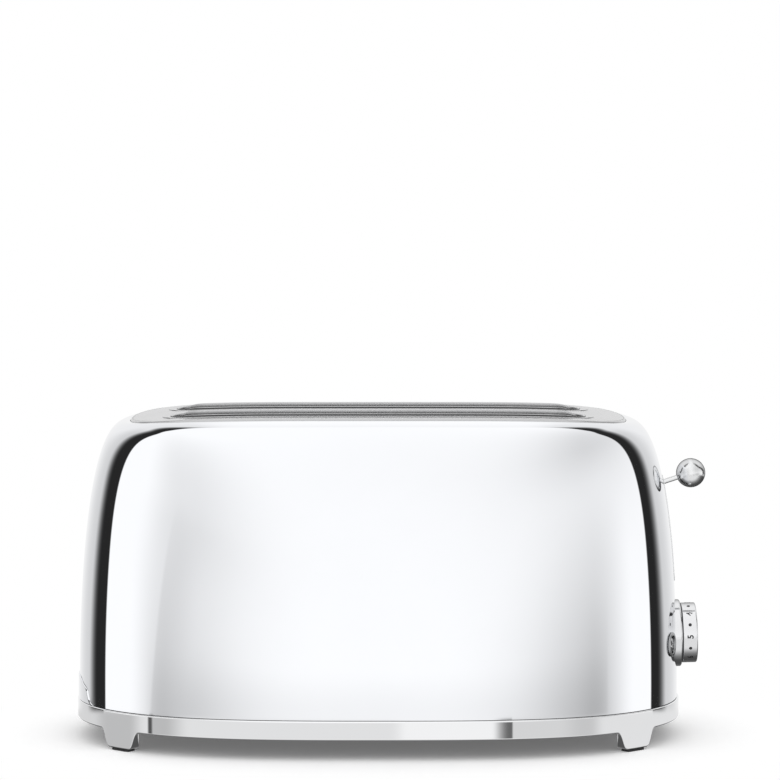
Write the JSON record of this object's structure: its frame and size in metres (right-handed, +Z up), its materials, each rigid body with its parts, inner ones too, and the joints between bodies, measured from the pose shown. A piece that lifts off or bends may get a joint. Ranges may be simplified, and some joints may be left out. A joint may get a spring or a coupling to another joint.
{
  "type": "long two-slot toaster",
  "caption": "Long two-slot toaster in mirror steel: footed base band, oval rimmed top, ball-ended lever, browning dial, push buttons and pull-out crumb tray.",
  "frame": {"origin": "on the table under the middle of the toaster's overall box, lever included", "axes": "+Z up, +X along the length to the end with the lever, dial and buttons, -Y the plain front"},
  "size_m": [0.3938, 0.21, 0.2046],
  "materials": {
    "mirror_steel": "mirror-polished drawn steel",
    "satin_steel": "fine satin brushed",
    "band_chrome": "bright chrome plate",
    "control_chrome": "bright chrome plate",
    "zinc_sheet": "dull zinc-coated sheet",
    "guard_wire": "bright drawn wire and strip",
    "spring_steel": "oiled spring wire",
    "pad_rubber": "matt black rubber",
    "mica_card": "mica board with heating ribbon",
    "coil_copper": "enamelled copper winding",
    "board_green": "lacquered circuit board",
    "black_plastic": "moulded, fine texture"
  },
  "bodies": {
    "housing": {"body_shell": "mirror_steel", "top_plate": "satin_steel", "base_ring": "band_chrome", "base_pan": "black_plastic", "foot_pad_front_left": "pad_rubber", "foot_pad_front_right": "pad_rubber", "foot_pad_rear_left": "pad_rubber", "foot_pad_rear_right": "pad_rubber", "base_screw_1": "zinc_sheet", "base_screw_2": "zinc_sheet", "base_screw_3": "zinc_sheet", "base_screw_4": "zinc_sheet", "cord_inlet": "pad_rubber", "lever_slot_trim": "satin_steel", "dial_bezel": "band_chrome", "button_bezel_front": "band_chrome", "button_bezel_rear": "band_chrome", "button_switch_front": "black_plastic", "button_switch_rear": "black_plastic", "chassis_plate_left": "zinc_sheet", "chassis_plate_right": "zinc_sheet", "heat_shield_front": "zinc_sheet", "heat_shield_rear": "zinc_sheet", "tray_runner_front": "zinc_sheet", "tray_runner_rear": "zinc_sheet", "guide_rod_front": "satin_steel", "guide_rod_rear": "satin_steel", "return_spring_front": "spring_steel", "return_spring_rear": "spring_steel", "heater_front": "mica_card", "heater_centre": "mica_card", "heater_rear": "mica_card", "magnet_core": "zinc_sheet", "magnet_coil": "coil_copper", "control_board": "board_green", "board_bracket": "zinc_sheet", "dial_potentiometer": "black_plastic"},
    "lift": {"carriage_bracket": "zinc_sheet", "armature_plate": "zinc_sheet", "bread_rack_front": "guard_wire", "bread_rack_rear": "guard_wire", "lever_rod": "control_chrome", "lever_ball": "control_chrome"},
    "guard_front_outer": {"bread_guard_front_outer": "guard_wire"},
    "guard_front_inner": {"bread_guard_front_inner": "guard_wire"},
    "guard_rear_inner": {"bread_guard_rear_inner": "guard_wire"},
    "guard_rear_outer": {"bread_guard_rear_outer": "guard_wire"},
    "dial": {"dial_shaft": "satin_steel", "dial_knob": "control_chrome"},
    "front_button": {"button_front": "control_chrome"},
    "rear_button": {"button_rear": "control_chrome"},
    "tray": {"crumb_tray_pull": "band_chrome", "crumb_tray_pan": "zinc_sheet"}
  },
  "joints": [
    {"name": "lever_slide", "type": "slide", "parent": "housing", "child": "lift", "axis": [0, 0, -1], "range_m": [0, 0.06], "stiffness_N_per_m": 60, "springref_m": -0.1, "deforming": ["return_spring_front", "return_spring_rear"]},
    {"name": "guard_front_outer_slide", "type": "slide", "parent": "housing", "child": "guard_front_outer", "axis": [0, 1, 0], "range_m": [0, 0.0045]},
    {"name": "guard_front_inner_slide", "type": "slide", "parent": "housing", "child": "guard_front_inner", "axis": [0, -1, 0], "range_m": [0, 0.0045]},
    {"name": "guard_rear_inner_slide", "type": "slide", "parent": "housing", "child": "guard_rear_inner", "axis": [0, 1, 0], "range_m": [0, 0.0045]},
    {"name": "guard_rear_outer_slide", "type": "slide", "parent": "housing", "child": "guard_rear_outer", "axis": [0, -1, 0], "range_m": [0, 0.0045]},
    {"name": "dial_turn", "type": "hinge", "parent": "housing", "child": "dial", "pos_m": [0.17888, 0, 0.0625], "axis": [0.9996, 0, 0.028], "range_deg": [-135, 135]},
    {"name": "front_button_push", "type": "slide", "parent": "housing", "child": "front_button", "axis": [-0.9408, 0.3381, -0.0238], "range_m": [0, 0.0016], "stiffness_N_per_m": 700, "springref_m": -0.0012},
    {"name": "rear_button_push", "type": "slide", "parent": "housing", "child": "rear_button", "axis": [-0.9408, -0.3381, -0.0238], "range_m": [0, 0.0016], "stiffness_N_per_m": 700, "springref_m": -0.0012},
    {"name": "crumb_tray_slide", "type": "slide", "parent": "housing", "child": "tray", "axis": [-1, 0, 0], "range_m": [0, 0.25]}
  ],
  "couplings": [
    {"joint": "guard_front_outer_slide", "follows": "lever_slide", "ratio": 0.075},
    {"joint": "guard_front_inner_slide", "follows": "lever_slide", "ratio": 0.075},
    {"joint": "guard_rear_inner_slide", "follows": "lever_slide", "ratio": 0.075},
    {"joint": "guard_rear_outer_slide", "follows": "lever_slide", "ratio": 0.075}
  ]
}
